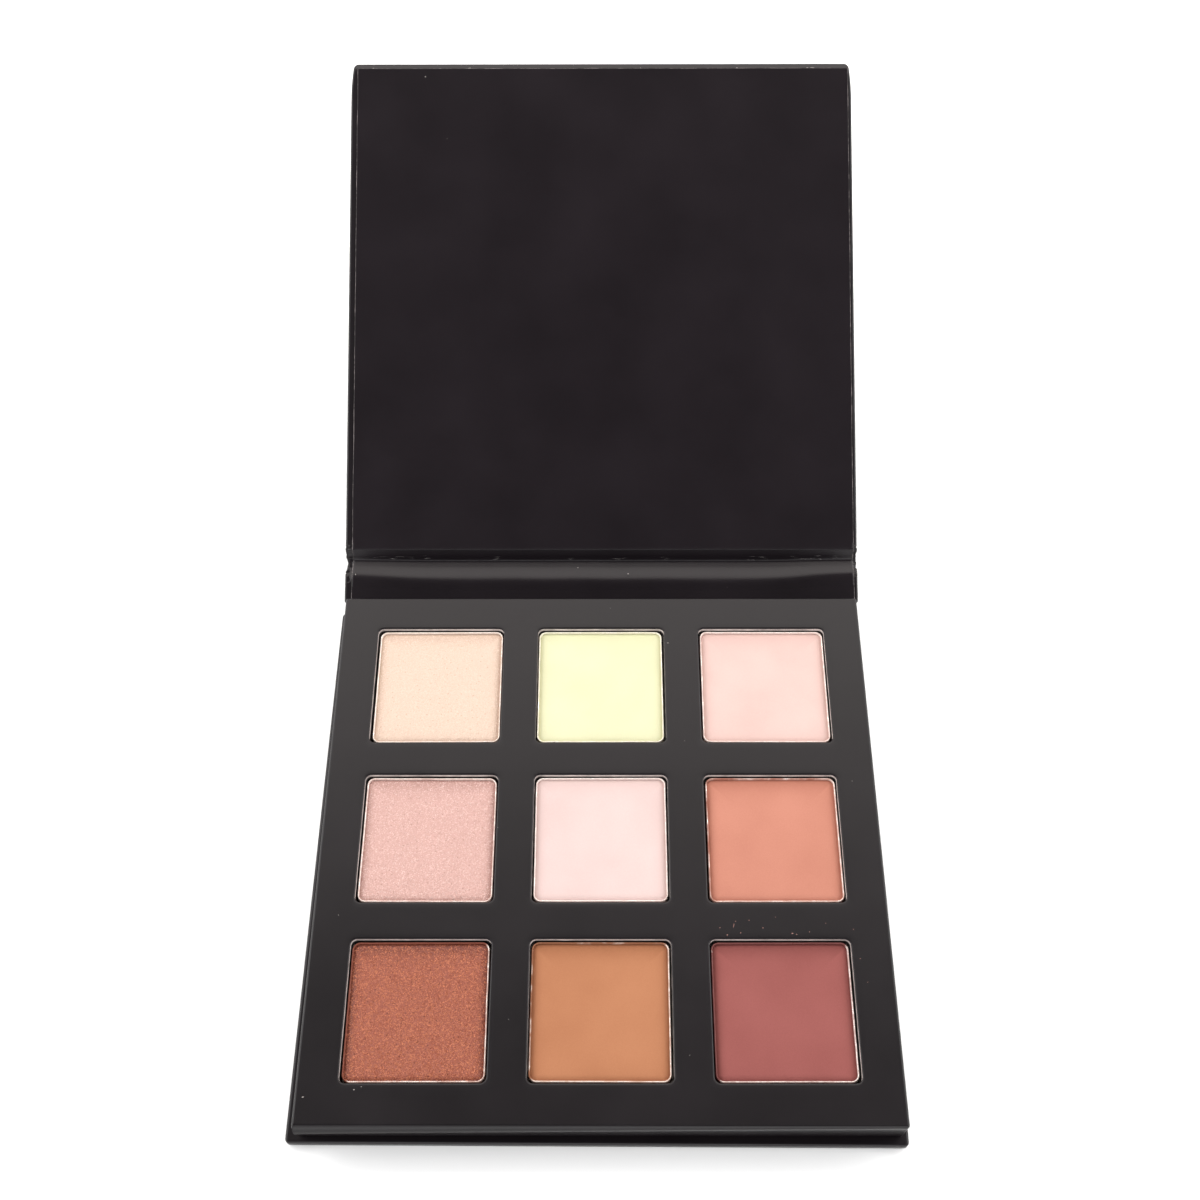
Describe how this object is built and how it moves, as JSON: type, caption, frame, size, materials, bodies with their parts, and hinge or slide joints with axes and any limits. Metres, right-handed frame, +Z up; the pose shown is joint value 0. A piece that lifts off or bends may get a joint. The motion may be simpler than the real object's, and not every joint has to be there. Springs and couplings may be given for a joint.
{
  "type": "eyeshadow palette",
  "caption": "Square book-style card eyeshadow palette, standing open on its own spine, with a grid of square metal pans of pressed powder set in a black paper-covered tray.",
  "frame": {"origin": "underside of the bottom board, under the centre of the tray", "axes": "+Z up out of the tray, +Y towards the spine and the lid, +X to the right as the user faces the pans"},
  "size_m": [0.1149, 0.2266, 0.0585],
  "materials": {
    "case_paper": "satin black covering paper",
    "liner_paper": "satin black lining paper",
    "tray_paper": "satin black covering paper",
    "greyboard": "rough grey board",
    "white_card": "raw white card",
    "pan_metal": "bright pressed tinplate",
    "adhesive": "double-sided foam pad",
    "magnet": "nickel-plated disc",
    "powder_1_champagne_shimmer": "pressed shimmer powder",
    "powder_2_pale_yellow": "matt pressed powder",
    "powder_3_light_pink": "matt pressed powder",
    "powder_4_rose_shimmer": "pressed shimmer powder",
    "powder_5_porcelain_pink": "matt pressed powder",
    "powder_6_terracotta": "matt pressed powder",
    "powder_7_bronze_shimmer": "pressed coarse shimmer powder",
    "powder_8_tan": "matt pressed powder",
    "powder_9_brick_mauve": "matt pressed powder"
  },
  "bodies": {
    "base": {"bottom_board": "greyboard", "bottom_wrap": "case_paper", "tray_floor_card": "greyboard", "spacer_card_lower": "greyboard", "spacer_card_upper": "greyboard", "window_card": "white_card", "tray_wrap": "tray_paper", "tray_magnet_left": "magnet", "tray_magnet_right": "magnet", "pan_1_champagne_shimmer": "pan_metal", "pan_2_pale_yellow": "pan_metal", "pan_3_light_pink": "pan_metal", "pan_4_rose_shimmer": "pan_metal", "pan_5_porcelain_pink": "pan_metal", "pan_6_terracotta": "pan_metal", "pan_7_bronze_shimmer": "pan_metal", "pan_8_tan": "pan_metal", "pan_9_brick_mauve": "pan_metal", "powder_1_champagne_shimmer": "powder_1_champagne_shimmer", "powder_2_pale_yellow": "powder_2_pale_yellow", "powder_3_light_pink": "powder_3_light_pink", "powder_4_rose_shimmer": "powder_4_rose_shimmer", "powder_5_porcelain_pink": "powder_5_porcelain_pink", "powder_6_terracotta": "powder_6_terracotta", "powder_7_bronze_shimmer": "powder_7_bronze_shimmer", "powder_8_tan": "powder_8_tan", "powder_9_brick_mauve": "powder_9_brick_mauve", "glue_pad_1_champagne_shimmer": "adhesive", "glue_pad_2_pale_yellow": "adhesive", "glue_pad_3_light_pink": "adhesive", "glue_pad_4_rose_shimmer": "adhesive", "glue_pad_5_porcelain_pink": "adhesive", "glue_pad_6_terracotta": "adhesive", "glue_pad_7_bronze_shimmer": "adhesive", "glue_pad_8_tan": "adhesive", "glue_pad_9_brick_mauve": "adhesive"},
    "spine": {"spine_board": "greyboard", "spine_wrap": "case_paper", "spine_liner": "liner_paper"},
    "lid": {"lid_board": "greyboard", "lid_wrap": "case_paper", "lid_liner": "liner_paper", "lid_magnet_left": "magnet", "lid_magnet_right": "magnet"}
  },
  "joints": [
    {"name": "spine_hinge", "type": "hinge", "parent": "base", "child": "spine", "pos_m": [0, 0.0577, 0.0012], "axis": [1, 0, 0], "range_deg": [-22.9, 69.5]},
    {"name": "lid_hinge", "type": "hinge", "parent": "spine", "child": "lid", "pos_m": [0, 0.06779, 0.00546], "axis": [1, 0, 0], "range_deg": [-4.3, 83.3]}
  ]
}
